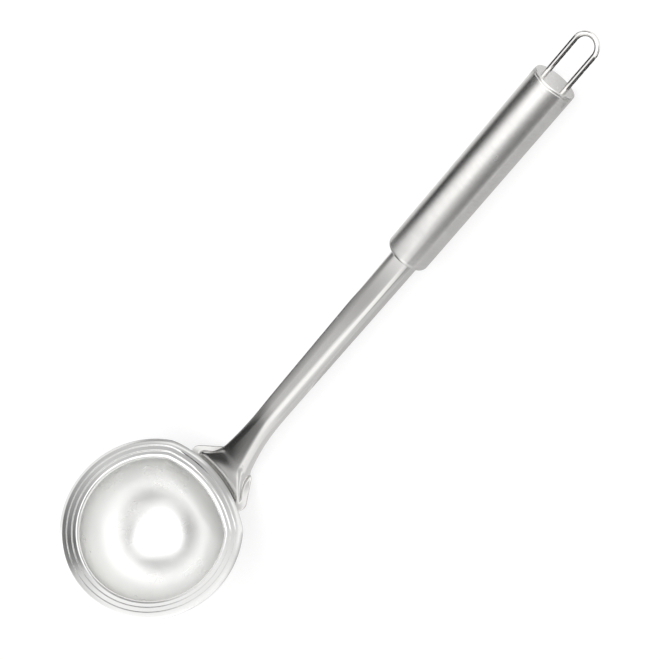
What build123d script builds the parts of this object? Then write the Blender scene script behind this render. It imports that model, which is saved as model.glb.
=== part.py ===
from build123d import *
import os
from math import acos, asin, atan2, cos, degrees, hypot, radians, sin, sqrt, tan

os.makedirs("parts", exist_ok=True)

# A soup ladle in stainless steel: a pressed bowl with a stepped pouring lip, a pressed stem that
# opens into a saddle under the lip, and a hollow round handle with a cap and a wire hanging loop.
# It is drawn with the lip level at z = 0, the bowl's axis on Z and the handle towards +X,
# and laid down at the end the way it rests on a table. Lengths are in millimetres.

# Bowl
lip_radius = 43.4           # outer edge of the lip, all round but at the seat
bowl_sheet = 0.8            # sheet thickness of the bowl
wall_height = 5.0           # top of the lip to where the straight wall turns into the round bottom
tread_width = 1.2           # the lip's inner tread, from the wall's rounding to the first riser
middle_width = 2.0          # the lip's middle tread
outer_width = 3.2           # the lip's outer band, out to the edge
riser_height = 0.7          # each of the lip's two steps
riser_run = 0.4             # how far a step leans outward
lip_rounding = 1.0          # outer rounding where the wall turns into the lip
edge_drop = 0.9             # how far the outer band falls to its edge

# The seat: the side of the bowl that is pressed in for the stem
seat_depth = 3.4            # how far the lip stands back there
seat_half_angle = 40.0      # from the middle of the seat to its corner, in degrees
seat_corner = 14.4          # plan radius of the lip at the seat's corners
seat_wall_curve = 55.0      # radius of the seat's wall as it goes down into the bottom

# Stem
stem_sheet = 1.5            # sheet thickness of the stem
mouth_run = 113.7           # from the seat to where the handle's axis leaves the handle, along X
mouth_z = 99.4              # the same point's height over the lip
handle_slope = 40.55        # the handle's slope over the lip, in degrees
straight_length = 95.0      # the stem's straight run below the handle
bend_length = 43.0          # its bend below that, measured along the crown
crown_rise = 3.2            # the crown of the stem over the handle's axis
skirt_drop = 2.8            # the lower edge of the stem's skirts under that axis
crown_bend = 213.0          # radius of the crown where the stem bends down to the bowl
skirt_bend = 173.0          # radius of the skirts' lower edge there
skirt_bend_length = 47.5    # the length of the skirts' bend, down to the heel of the saddle
mouth_half_width = 6.8      # half the stem's width at the handle
neck_half_width = 6.0       # half its width at the neck
neck_run = 32.0             # from the seat to the neck, the narrowest place
neck_flare = 82.0           # plan radius of the sides above the saddle
neck_flare_run = 22.0       # how much of the length this radius takes
saddle_flare = 15.0         # plan radius of the sides as they open into the saddle
saddle_flare_angle = 51.0   # how far the sides turn outward there, in degrees
saddle_corner = 6.0         # plan radius where the saddle's sides turn in to the bowl
crown_flare = 10.0          # radius of the crown as it levels off into the saddle
crown_end_slope = 35.0      # slope of the crown over the saddle, in degrees
shoulder_radius = 4.8       # rounding between the crown and the skirts
tang_length = 26.0          # the end of the stem that is held inside the handle

# Saddle
lip_gap = 0.5               # between the lip's edge and the saddle's face
face_lean = 40.0            # how far the saddle's face leans back from upright, in degrees
wing_half_span = 20.0       # each wing's reach from the middle
wing_reach = 3.5            # how far a wing's tip stands out past the lip
heel_half_width = 9.5       # half the wings' width at the saddle's heel
wing_tip_radius = 2.0       # rounding of a wing's tip
wall_gap = 0.3              # between the wings and the bowl's rounding under the lip

# Handle
tube_radius = 10.0
tube_wall = 0.8
tube_length = 100.5         # from the mouth to the cap's seat
nose_radius = 2.5           # rounding of the tube's lower end
nose_thickness = 1.2        # metal at the closed lower end
slot_gap = 0.1              # between the stem and the slot that it passes through
seam_bevel = 0.2            # bevel of the tube's upper edge, and of the cap's lower one

# End cap
cap_thickness = 1.2
cap_step_in = 0.1           # the cap's edge behind the tube's surface
cap_rounding = 0.4
spigot_depth = 4.0
spigot_wall = 1.0
spigot_gap = 0.1            # between the spigot and the tube's bore

# Hanging loop
wire_radius = 1.15
loop_half_spacing = 5.45    # from the handle's axis to the middle of a leg
loop_height = 24.9          # from the cap's face to the top of the loop
leg_depth = 2.5             # each leg's length below the cap's disc
leg_gap = 0.05              # between a leg and its hole

# Welds
saddle_weld = 1.2           # size of the beads under the wings
saddle_weld_start = 7.0     # each bead's ends, from the middle of the seat, in degrees
saddle_weld_end = 16.0
mouth_weld = 0.6            # width and height of the bead round the stem at the handle
leg_weld = 0.9              # width and height of the beads inside the cap

overrun = 5.0               # how far a cutting form runs past what it cuts


# Bowl: what follows from the sizes above

bowl_wall = outer_width + middle_width + tread_width + 2 * riser_run + lip_rounding
outside_radius = lip_radius - bowl_wall
seat_angle = radians(seat_half_angle)
seat_middle = lip_radius - seat_depth
corner_height = lip_radius * sin(seat_angle)
corner_depth = seat_middle - lip_radius * cos(seat_angle)
seat_radius = (corner_height**2 + corner_depth**2) / (2 * corner_depth)
seat_centre = seat_middle - seat_radius
seat_axis = Axis((seat_centre, 0, 0), (0, 0, 1))
tread_level = -2 * riser_height
lip_underside = tread_level - bowl_sheet
wall_join = (lip_underside - lip_rounding - wall_height) / 2


def cup(axis_x, wall_radius, curve, inset, top):
    """A solid cup about the upright axis at axis_x, with its wall set in by inset."""
    radius = wall_radius - inset
    bend = curve - inset
    centre_x = radius - bend
    end_turn = acos(max(0, -centre_x) / bend)

    def on_bend(turn):
        return centre_x + bend * cos(turn), -wall_height - bend * sin(turn)

    last_x, lowest = on_bend(end_turn)
    with BuildSketch(Plane.XZ) as half:
        with BuildLine():
            ThreePointArc((radius, -wall_height), on_bend(end_turn / 2), (last_x, lowest))
            if last_x > 0:
                Line((last_x, lowest), (0, lowest))
            Polyline((0, lowest), (0, top), (radius, top), (radius, -wall_height))
        make_face()
    solid = revolve(half.sketch, axis=Axis.Z)
    return Pos(axis_x, 0, 0) * solid


def body(inset, top):
    """The bowl's round body, flattened at the seat: two cups, kept where they overlap."""
    round_cup = cup(0, outside_radius, outside_radius, inset, top)
    seat_cup = cup(seat_centre, seat_radius - bowl_wall, seat_wall_curve, inset, top)
    both = round_cup & seat_cup
    upright = [edge for edge in both.edges() if edge.geom_type == GeomType.LINE]
    curved = [edge for edge in both.edges() if edge.geom_type == GeomType.BSPLINE]
    return fillet(upright + curved, seat_corner - bowl_wall - inset)


def lip_section():
    """The lip and the top of the wall in section: x runs inward from the lip's edge."""
    crest = outer_width
    first = crest + riser_run
    second = first + middle_width
    third = second + riser_run
    wall_out = bowl_wall
    wall_in = bowl_wall + bowl_sheet
    upper = [
        (0, -edge_drop),
        (crest / 2, -edge_drop / 4),
        (crest, 0),
        (first, -riser_height),
        (second, -riser_height),
        (third, tread_level),
        (wall_in, tread_level),
        (wall_in, wall_join),
        (wall_out, wall_join),
    ]
    lower = [(x, z - bowl_sheet) for x, z in reversed(upper[:6])]
    with BuildSketch() as section:
        with BuildLine():
            Polyline(*upper, (wall_out, lip_underside), *lower, close=True)
        make_face()
        inner_turn = section.vertices().filter_by_position(Axis.X, wall_in, wall_in)
        fillet(inner_turn.sort_by(Axis.Y)[-1], lip_rounding + bowl_sheet)
        outer_turn = section.vertices().filter_by_position(Axis.X, wall_out, wall_out)
        fillet(outer_turn.sort_by(Axis.Y)[-1], lip_rounding)
    return section.sketch


def lip_ring():
    """The lip all round: one section turned about the four centres of the lip's plan."""
    from_round = lip_radius - seat_corner
    from_seat = seat_radius - seat_corner
    centre_x = (from_seat**2 - from_round**2 - seat_centre**2) / (-2 * seat_centre)
    centre_y = sqrt(from_round**2 - centre_x**2)
    round_end = degrees(atan2(centre_y, centre_x))
    seat_end = degrees(atan2(centre_y, centre_x - seat_centre))
    arcs = [
        (0, 0, lip_radius, round_end, 360 - 2 * round_end),
        (centre_x, -centre_y, seat_corner, -round_end, round_end - seat_end),
        (seat_centre, 0, seat_radius, -seat_end, 2 * seat_end),
        (centre_x, centre_y, seat_corner, seat_end, round_end - seat_end),
    ]
    section = lip_section()
    ring = None
    for x, y, radius, start, sweep in arcs:
        towards = Vector(cos(radians(start)), sin(radians(start)), 0)
        edge_point = Vector(x, y, 0) + towards * radius
        plane = Plane(edge_point, x_dir=-towards, z_dir=Vector(0, 0, 1).cross(towards))
        piece = revolve(plane * section, axis=Axis((x, y, 0), (0, 0, 1)), revolution_arc=sweep)
        ring = piece if ring is None else ring + piece
    return ring


def make_bowl():
    """The bowl: a thin body under the lip, one sheet throughout."""
    hollow = body(bowl_sheet, wall_join + overrun)
    shell = body(0, wall_join) - hollow
    return lip_ring() + shell


# Stem: what follows from the sizes above

slope = radians(handle_slope)
axis_dir = Vector(cos(slope), 0, sin(slope))
axis_up = Vector(-sin(slope), 0, cos(slope))
mouth_x = seat_middle + mouth_run
neck_x = seat_middle + neck_run
mouth = Vector(mouth_x, 0, mouth_z)
handle_plane = Plane(mouth, x_dir=(0, 1, 0), z_dir=axis_dir)
shoulder = min(shoulder_radius, (4 * neck_half_width + stem_sheet) / 5, (4 * saddle_corner + stem_sheet) / 5)
wing_top = lip_underside
wing_bottom = wing_top - stem_sheet
wing_inner_radius = seat_radius - bowl_wall + lip_rounding + wall_gap
tip_radius = seat_radius + wing_reach
inner_x = seat_middle - bowl_wall
form_low = wing_bottom - 2 * overrun


def round_from(centre, radius, *turns):
    """Points at this radius from centre, each turned from straight up by an angle."""
    return [centre + Vector(-sin(turn), cos(turn)) * radius for turn in turns]


def plan_form(inset):
    """The stem's plan outline as an upright block, its sides set in by inset."""
    turn_one = asin(neck_flare_run / neck_flare)
    turn_two = radians(saddle_flare_angle)
    centre_one = Vector(neck_x, neck_half_width + neck_flare)
    centre_two = centre_one + Vector(-sin(turn_one), -cos(turn_one)) * (neck_flare - saddle_flare)
    outward = Vector(-sin(turn_two), -cos(turn_two))
    centre_three = centre_two + outward * (saddle_flare + saddle_corner)
    tang_end = mouth + axis_dir * (tang_length + overrun)
    start = Vector(tang_end.X, mouth_half_width - inset)
    at_mouth = Vector(mouth_x, mouth_half_width - inset)

    def concave(centre, radius, turn):
        return centre + Vector(-sin(turn), -cos(turn)) * (radius + inset)

    neck = concave(centre_one, neck_flare, 0)
    first = concave(centre_one, neck_flare, turn_one / 2)
    middle = concave(centre_one, neck_flare, turn_one)
    second = concave(centre_two, saddle_flare, (turn_one + turn_two) / 2)
    third = concave(centre_two, saddle_flare, turn_two)
    corner_radius = saddle_corner - inset
    fourth = centre_three + Vector(sin(turn_two / 2), cos(turn_two / 2)) * corner_radius
    last = centre_three + Vector(0, corner_radius)
    with BuildSketch() as outline:
        with BuildLine():
            Polyline(start, at_mouth, neck)
            ThreePointArc(neck, first, middle)
            ThreePointArc(middle, second, third)
            ThreePointArc(third, fourth, last)
            Polyline(last, (inner_x, last.Y), (inner_x, 0), (start.X, 0), start)
        make_face()
        mirror(about=Plane.XZ)
    return Pos(0, 0, form_low) * extrude(outline.sketch, mouth_z + straight_length - form_low)


def bend_points(offset, radius, length):
    """A line beside the handle's axis: its start, and the start, middle and end of its bend."""
    start = mouth + axis_dir * tang_length + axis_up * offset
    bend = mouth - axis_dir * straight_length + axis_up * offset
    centre = Vector(bend.X, bend.Z) + Vector(sin(slope), -cos(slope)) * radius
    turn = length / radius
    arc = round_from(centre, radius, slope, slope + turn / 2, slope + turn)
    return Vector(start.X, start.Z), centre, slope + turn, arc


def side_form(inset):
    """The stem's side outline as a block across Y, its crown set in by inset."""
    top_start, centre, turn, crown = bend_points(crown_rise - inset, crown_bend - inset, bend_length)
    end_turn = radians(crown_end_slope)
    flare_centre = centre + Vector(-sin(turn), cos(turn)) * (crown_bend + crown_flare)
    flare = round_from(flare_centre, -crown_flare - inset, turn, (turn + end_turn) / 2, end_turn)
    tail = flare[2] - Vector(1, tan(end_turn)) * (flare[2].X - inner_x + overrun)
    drop = overrun if inset else 0
    low_start, _, _, skirt = bend_points(-skirt_drop - drop, skirt_bend - drop, skirt_bend_length)
    with BuildSketch(Plane.XZ) as outline:
        with BuildLine():
            Line(top_start, crown[0])
            ThreePointArc(*crown)
            ThreePointArc(*flare)
            Polyline(flare[2], tail, (tail.X, form_low), (skirt[2].X, form_low), skirt[2])
            ThreePointArc(*reversed(skirt))
            Polyline(skirt[0], low_start, top_start)
        make_face()
    return extrude(outline.sketch, 2 * wing_half_span, both=True)


def lean_cone(inset):
    """The space before the saddle's face: a cone about the seat's axis, wider at its top."""
    lean = radians(face_lean)
    base = seat_radius + lip_gap + inset / cos(lean)
    low = form_low - wing_top
    high = seat_radius
    with BuildSketch(Plane.XZ) as half:
        with BuildLine():
            Polyline(
                (0, wing_top + low),
                (base + low * tan(lean), wing_top + low),
                (base + high * tan(lean), wing_top + high),
                (0, wing_top + high),
                close=True,
            )
        make_face()
    return Pos(seat_centre, 0, 0) * revolve(half.sketch, axis=Axis.Z)


def hood(inset, floor):
    """The stem and its saddle as a solid form down to floor, its outer faces set in by inset."""
    block = plan_form(inset) & side_form(inset)
    top_edges = ShapeList()
    side_edges = ShapeList()
    for face in block.faces():
        facing = face.normal_at(face.center())
        if abs(facing.Y) < sin(radians(1)) and facing.Z > sin(radians(1)):
            top_edges += face.edges()
        elif abs(facing.Z) < sin(radians(1)) and abs(facing.Y) > sin(radians(1)):
            side_edges += face.edges()
    crown_edges = [edge for edge in top_edges if any(edge.is_same(other) for other in side_edges)]
    rounded = fillet(crown_edges, shoulder - inset)
    half = 2 * mouth_x
    under = Pos(0, 0, floor) * Box(2 * half, half, half, align=(Align.CENTER, Align.CENTER, Align.MAX))
    return rounded - lean_cone(inset) - under


def wings():
    """The flat wings of the saddle: they lie under the lip on both sides of the stem."""
    heel_x = bend_points(-skirt_drop, skirt_bend, skirt_bend_length)[3][2].X
    tip_angle = asin(wing_half_span / tip_radius)

    def from_seat(radius, angle):
        return seat_centre + radius * cos(angle), radius * sin(angle)

    tip = from_seat(tip_radius, tip_angle)
    heel = (heel_x, heel_half_width)
    inner_arc = [from_seat(wing_inner_radius, tip_angle * part) for part in (1, 1 / 2, 0)]
    with BuildSketch() as outline:
        with BuildLine():
            Polyline(inner_arc[2], (heel_x, 0), heel, tip, inner_arc[0])
            ThreePointArc(*inner_arc)
        make_face()
        corners = outline.vertices()
        fillet(corners.sort_by_distance((tip[0], tip[1], 0))[0], wing_tip_radius)
        fillet(outline.vertices().sort_by_distance((heel[0], heel[1], 0))[0], wing_tip_radius / 2)
        mirror(about=Plane.XZ)
    return Pos(0, 0, wing_bottom) * extrude(outline.sketch, stem_sheet)


def make_stem():
    """The stem: one pressed sheet, open below, with a flat seat round the end of its hood."""
    return hood(0, wing_bottom) + wings() - hood(stem_sheet, form_low)


# Handle. Its own frame: x across, y up from the axis, z along the axis from the mouth.


def channel_section(grow, bottom):
    """The stem's section at the mouth, grown by this much, down to this height."""
    half = mouth_half_width + grow
    top = crown_rise + grow
    with BuildSketch() as section:
        with BuildLine():
            Polyline((-half, bottom), (half, bottom), (half, top), (-half, top), close=True)
        make_face()
        fillet(section.vertices().group_by(Axis.Y)[-1], shoulder + grow)
    return section.sketch


def turned(points):
    """A solid turned about the handle's axis from a half outline of radius and distance."""
    with BuildSketch(Plane.XZ) as half:
        with BuildLine():
            Polyline(*points, close=True)
        make_face()
    return revolve(half.sketch, axis=Axis.Z)


def circles_at(solid, radius, level):
    """The round edges of the solid that have this radius at this level."""
    found = ShapeList()
    for edge in solid.edges().filter_by(GeomType.CIRCLE):
        near = abs(edge.radius - radius) + abs(edge.center().Z - level)
        if near < slot_gap / 10:
            found.append(edge)
    return found


def make_handle_tube():
    """The handle: a round tube, rounded and closed at its lower end round the stem's slot."""
    bore = tube_radius - tube_wall
    tube = turned(
        [
            (0, 0),
            (tube_radius, 0),
            (tube_radius, tube_length),
            (bore, tube_length),
            (bore, nose_thickness),
            (0, nose_thickness),
        ]
    )
    tube = fillet(circles_at(tube, tube_radius, 0), nose_radius)
    tube = fillet(circles_at(tube, bore, nose_thickness), nose_radius - tube_wall)
    tube = chamfer(circles_at(tube, tube_radius, tube_length), seam_bevel)
    around = channel_section(slot_gap, -skirt_drop - slot_gap)
    tongue = channel_section(-stem_sheet - slot_gap, -tube_radius)
    slot = Pos(0, 0, -overrun) * extrude(around - tongue, nose_thickness + 2 * overrun)
    return handle_plane.location * (tube - slot)


def leg_places():
    """The two places of the loop's legs, on the handle's axis at the cap's seat."""
    return [Pos(side * loop_half_spacing, 0, tube_length) for side in (-1, 1)]


def make_end_cap():
    """The end cap: a disc with a spigot in the tube and two holes for the loop's legs."""
    outer = tube_radius - cap_step_in
    spigot = tube_radius - tube_wall - spigot_gap
    inside = spigot - spigot_wall
    top = tube_length + cap_thickness
    cap = turned(
        [
            (0, tube_length),
            (inside, tube_length),
            (inside, tube_length - spigot_depth),
            (spigot, tube_length - spigot_depth),
            (spigot, tube_length),
            (outer, tube_length),
            (outer, top),
            (0, top),
        ]
    )
    cap = fillet(circles_at(cap, outer, top), cap_rounding)
    cap = chamfer(circles_at(cap, outer, tube_length), seam_bevel)
    for place in leg_places():
        cap -= place * Cylinder(wire_radius + leg_gap, 4 * cap_thickness)
    return handle_plane.location * cap


def make_hanging_loop():
    """The hanging loop: one bent wire, both its legs through the cap."""
    foot = tube_length - leg_depth
    shoulder_level = tube_length + cap_thickness + loop_height - wire_radius - loop_half_spacing
    with BuildLine(Plane.XZ) as path:
        Line((-loop_half_spacing, foot), (-loop_half_spacing, shoulder_level))
        ThreePointArc(
            (-loop_half_spacing, shoulder_level),
            (0, shoulder_level + loop_half_spacing),
            (loop_half_spacing, shoulder_level),
        )
        Line((loop_half_spacing, shoulder_level), (loop_half_spacing, foot))
    with BuildSketch(Plane((-loop_half_spacing, 0, foot))) as wire:
        Circle(wire_radius)
    return handle_plane.location * sweep(wire.sketch, path=path.line)


def make_mouth_weld():
    """The weld round the stem where it enters the handle: a small sloped bead on the nose."""
    wide = channel_section(mouth_weld, -skirt_drop)
    bead = extrude(wide, mouth_weld, dir=(0, 0, -1), taper=40)
    below = Pos(0, -skirt_drop, 0) * Box(
        4 * tube_radius, tube_radius, 4 * mouth_weld, align=(Align.CENTER, Align.MAX, Align.CENTER)
    )
    return handle_plane.location * (bead - below) - hood(0, wing_bottom)


def make_loop_welds():
    """The beads inside the cap that hold the loop's two legs."""
    bead = turned([(wire_radius, 0), (wire_radius + leg_weld, 0), (wire_radius, -leg_weld)])
    return [handle_plane.location * place * bead for place in leg_places()]


def make_saddle_welds():
    """The two beads under the wings, in the corner between the saddle and the bowl's wall."""
    wall = seat_radius - bowl_wall
    with BuildSketch(Plane.XZ) as section:
        with BuildLine():
            Polyline(
                (wall, wing_bottom),
                (wing_inner_radius + saddle_weld, wing_bottom),
                (wall, wing_bottom - saddle_weld),
                close=True,
            )
        make_face()
    bead = revolve(section.sketch, axis=Axis.Z, revolution_arc=saddle_weld_end - saddle_weld_start)
    seat = Pos(seat_centre, 0, 0)
    return [seat * Rot(0, 0, start) * bead for start in (saddle_weld_start, -saddle_weld_end)]


# Laying down: the bowl's round bottom and the lower edge of the tube's far end touch the table.

tube_edge = mouth + axis_dir * (tube_length - seam_bevel) - axis_up * tube_radius
edge_height = tube_edge.Z + wall_height
reach = hypot(edge_height, tube_edge.X)
lay_angle = degrees(acos(-outside_radius / reach) - atan2(tube_edge.X, edge_height))

nodes = {
    "bowl": [make_bowl()],
    "stem": [make_stem()],
    "handle_tube": [make_handle_tube()],
    "end_cap": [make_end_cap()],
    "hanging_loop": [make_hanging_loop()],
    "mouth_weld": [make_mouth_weld()],
    "loop_welds": make_loop_welds(),
    "saddle_welds": make_saddle_welds(),
}
laid = {name: [Rot(0, lay_angle, 0) * piece for piece in pieces] for name, pieces in nodes.items()}
whole = Compound([piece for pieces in laid.values() for piece in pieces]).bounding_box()
to_origin = Pos(-whole.center().X, -whole.center().Y, -whole.min.Z)
for name, pieces in laid.items():
    placed = [to_origin * piece for piece in pieces]
    export_step(placed[0] if len(placed) == 1 else Compound(placed), f"parts/{name}.step")
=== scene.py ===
"""Looks of a stainless-steel soup ladle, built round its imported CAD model.

Sizes are in millimetres, in the bowl's own frame: the lip is level at z = 0, the bowl's axis is Z
and the handle goes towards +X. Placement turns that frame to the one in which the ladle lies on a table.
"""

import logging
import math
from dataclasses import dataclass
from enum import Enum
from typing import Callable, Sequence

import bpy
import numpy as np
from mathutils import Matrix, Vector

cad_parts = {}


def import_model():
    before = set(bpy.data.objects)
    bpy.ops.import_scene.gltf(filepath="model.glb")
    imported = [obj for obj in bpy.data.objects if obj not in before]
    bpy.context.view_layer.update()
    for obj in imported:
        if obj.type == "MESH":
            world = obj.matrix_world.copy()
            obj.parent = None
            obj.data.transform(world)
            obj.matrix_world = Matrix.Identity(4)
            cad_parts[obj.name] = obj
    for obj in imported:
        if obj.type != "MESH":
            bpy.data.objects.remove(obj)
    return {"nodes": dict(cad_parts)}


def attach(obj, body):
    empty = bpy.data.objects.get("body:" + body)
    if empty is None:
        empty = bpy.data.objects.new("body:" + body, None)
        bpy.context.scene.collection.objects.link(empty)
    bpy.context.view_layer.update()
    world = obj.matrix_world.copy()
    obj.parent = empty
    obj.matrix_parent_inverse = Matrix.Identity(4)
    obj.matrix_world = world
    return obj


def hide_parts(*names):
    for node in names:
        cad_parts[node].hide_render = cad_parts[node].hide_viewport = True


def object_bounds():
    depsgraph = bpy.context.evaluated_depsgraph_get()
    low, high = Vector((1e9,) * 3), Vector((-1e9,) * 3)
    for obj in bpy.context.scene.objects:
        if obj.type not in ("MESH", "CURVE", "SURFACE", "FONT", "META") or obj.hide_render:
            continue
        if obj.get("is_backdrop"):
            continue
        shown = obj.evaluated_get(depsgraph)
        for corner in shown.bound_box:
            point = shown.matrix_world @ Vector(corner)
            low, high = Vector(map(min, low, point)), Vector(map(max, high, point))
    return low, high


log = logging.getLogger("ladle")

MM = 0.001
Point = tuple[float, float]
Place = tuple[float, float, float]
Tones = tuple[tuple[float, str], ...]
Field = Callable[[np.ndarray], np.ndarray]
Tree = bpy.types.NodeTree
Socket = bpy.types.NodeSocket


def linear_colour(code: str) -> tuple[float, float, float, float]:
    """Turns an sRGB hex colour to linear values.

    Args:
        code: six hex digits after a hash.

    Returns:
        Red, green, blue and alpha, as the shaders read them.
    """
    parts = [int(code[i : i + 2], 16) / 255 for i in (1, 3, 5)]
    linear = [c / 12.92 if c <= 0.04045 else ((c + 0.055) / 1.055) ** 2.4 for c in parts]
    return (linear[0], linear[1], linear[2], 1.0)


# ---- sizes


@dataclass(frozen=True)
class Sizes:
    """The ladle's sizes, in millimetres and degrees."""

    lip_radius: float = 43.4
    sheet: float = 0.8
    wall_height: float = 5.0
    outer_width: float = 3.2
    middle_width: float = 2.0
    tread_width: float = 1.2
    riser_height: float = 0.7
    riser_run: float = 0.4
    lip_rounding: float = 1.0
    edge_drop: float = 0.9
    seat_depth: float = 3.4
    seat_half_angle: float = 40.0
    seat_corner: float = 14.4
    seat_wall_curve: float = 55.0
    mouth_x: float = 153.7
    mouth_z: float = 99.4
    handle_slope: float = 40.55
    tube_radius: float = 10.0
    tube_length: float = 100.5
    cap_thickness: float = 1.2
    loop_height: float = 24.9
    seam_bevel: float = 0.2

    @property
    def bowl_wall(self) -> float:
        """Returns how far the bowl's outer wall stands in from the lip's edge."""
        treads = self.outer_width + self.middle_width + self.tread_width
        return treads + 2 * self.riser_run + self.lip_rounding

    @property
    def bowl_radius(self) -> float:
        """Returns the outside radius of the bowl's wall."""
        return self.lip_radius - self.bowl_wall

    @property
    def seat_radius(self) -> float:
        """Returns the plan radius of the lip's edge at the seat."""
        turn = math.radians(self.seat_half_angle)
        half = self.lip_radius * math.sin(turn)
        depth = self.lip_radius - self.seat_depth - self.lip_radius * math.cos(turn)
        return (half**2 + depth**2) / (2 * depth)

    @property
    def seat_centre(self) -> float:
        """Returns the seat axis' x."""
        return self.lip_radius - self.seat_depth - self.seat_radius

    @property
    def slope(self) -> float:
        """Returns the handle's slope in radians."""
        return math.radians(self.handle_slope)

    def along_handle(self, distance: float, up: float = 0.0, across: float = 0.0) -> np.ndarray:
        """Gives a point by its place along the handle.

        Args:
            distance: along the handle's axis from its mouth.
            up: from the axis, away from the bowl's bottom.
            across: from the plane of symmetry.

        Returns:
            The point in the bowl's frame.
        """
        cos, sin = math.cos(self.slope), math.sin(self.slope)
        x = self.mouth_x + distance * cos - up * sin
        z = self.mouth_z + distance * sin + up * cos
        return np.array([x, across, z])


class Placement:
    """Turns the bowl's frame to the one in which the ladle lies on the table."""

    def __init__(self, sizes: Sizes, right_end: float) -> None:
        """Works out the turn and the shift.

        Args:
            sizes: the ladle's sizes.
            right_end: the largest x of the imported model, in metres.
        """
        edge = sizes.along_handle(sizes.tube_length - sizes.seam_bevel, -sizes.tube_radius)
        height = edge[2] + sizes.wall_height
        reach = math.hypot(height, edge[0])
        angle = math.acos(-sizes.bowl_radius / reach) - math.atan2(edge[0], height)
        cos, sin = math.cos(angle), math.sin(angle)
        self.turn = np.array([[cos, 0, sin], [0, 1, 0], [-sin, 0, cos]])
        tip = sizes.along_handle(sizes.tube_length + sizes.cap_thickness + sizes.loop_height)
        lowest = self.turn @ np.array([0, 0, -sizes.wall_height])
        self.shift = np.array([right_end / MM - (self.turn @ tip)[0], 0.0, sizes.bowl_radius - lowest[2]])

    def place(self, points: np.ndarray) -> np.ndarray:
        """Returns points of the bowl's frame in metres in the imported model's frame."""
        return (np.asarray(points) @ self.turn.T + self.shift) * MM

    def turned(self, vectors: np.ndarray) -> np.ndarray:
        """Returns directions of the bowl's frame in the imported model's frame."""
        return np.asarray(vectors) @ self.turn.T


# ---- mesh code


class MeshMaker:
    """Makes the ladle's meshes and puts them on the frame."""

    def __init__(self, placement: Placement) -> None:
        """Keeps the placement that every mesh goes through."""
        self.placement = placement

    def add(
        self, name: str, points: np.ndarray, faces: Sequence[Sequence[int]], normals: np.ndarray | None = None
    ) -> bpy.types.Object:
        """Makes a smooth mesh object.

        Args:
            name: the object's name.
            points: vertices in the bowl's frame.
            faces: vertex numbers of each face.
            normals: exact normals at the vertices, if they are known.

        Returns:
            The new object, linked to the scene.
        """
        mesh = bpy.data.meshes.new(name)
        mesh.from_pydata(self.placement.place(points).tolist(), [], [list(map(int, face)) for face in faces])
        mesh.validate()
        mesh.shade_smooth()
        if normals is not None:
            mesh.normals_split_custom_set_from_vertices(self.placement.turned(normals).tolist())
        made = bpy.data.objects.new(name, mesh)
        bpy.context.scene.collection.objects.link(made)
        return made


def rounded_path(corners: Sequence[Place], steps: int = 6) -> list[Point]:
    """Rounds the corners of an open path.

    Args:
        corners: x, z and rounding radius of each corner; the first and last stay as they are.
        steps: segments in each rounding.

    Returns:
        The path's points.
    """
    points = [np.array(corner[:2]) for corner in corners]
    path: list[Point] = [tuple(points[0])]
    for before, corner, after, size in zip(points, points[1:], points[2:], corners[1:]):
        one = (before - corner) / np.linalg.norm(before - corner)
        two = (after - corner) / np.linalg.norm(after - corner)
        half = math.acos(float(np.clip(one @ two, -1, 1))) / 2
        reach = size[2] / math.tan(half)
        centre = corner + (one + two) / np.linalg.norm(one + two) * size[2] / math.sin(half)
        start, end = corner + one * reach - centre, corner + two * reach - centre
        sweep = math.atan2(start[0] * end[1] - start[1] * end[0], float(start @ end))
        for step in range(steps + 1):
            turn = sweep * step / steps
            cos, sin = math.cos(turn), math.sin(turn)
            spot = centre + np.array([start[0] * cos - start[1] * sin, start[0] * sin + start[1] * cos])
            path.append((float(spot[0]), float(spot[1])))
    path.append(tuple(points[-1]))
    return path


def ring_faces(rings: int, count: int, closed: bool) -> list[tuple[int, int, int, int]]:
    """Joins rings of vertices with quads.

    Args:
        rings: number of rings.
        count: vertices in each ring.
        closed: whether the last ring joins the first.

    Returns:
        The faces.
    """
    faces = []
    for ring in range(rings if closed else rings - 1):
        low, high = ring * count, (ring + 1) % rings * count
        for spot in range(count):
            following = (spot + 1) % count
            faces.append((low + spot, low + following, high + following, high + spot))
    return faces


def round_meet(one: np.ndarray, two: np.ndarray, radius: float) -> np.ndarray:
    """Returns the field of what lies in both forms, with the edge between them rounded."""
    near_one, near_two = np.maximum(one + radius, 0), np.maximum(two + radius, 0)
    return np.minimum(-radius, np.maximum(one, two)) + np.hypot(near_one, near_two)


def soft_meet(one: np.ndarray, two: np.ndarray, reach: float) -> np.ndarray:
    """Returns the field of what lies in both forms, eased where the fields differ by less than the reach."""
    near = np.maximum(reach - np.abs(one - two), 0)
    return np.maximum(one, two) + near**2 / (4 * reach)


def round_join(one: np.ndarray, two: np.ndarray, radius: float) -> np.ndarray:
    """Returns the field of two forms together, with a fillet between them."""
    near_one, near_two = np.maximum(radius - one, 0), np.maximum(radius - two, 0)
    return np.maximum(radius, np.minimum(one, two)) - np.hypot(near_one, near_two)


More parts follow.
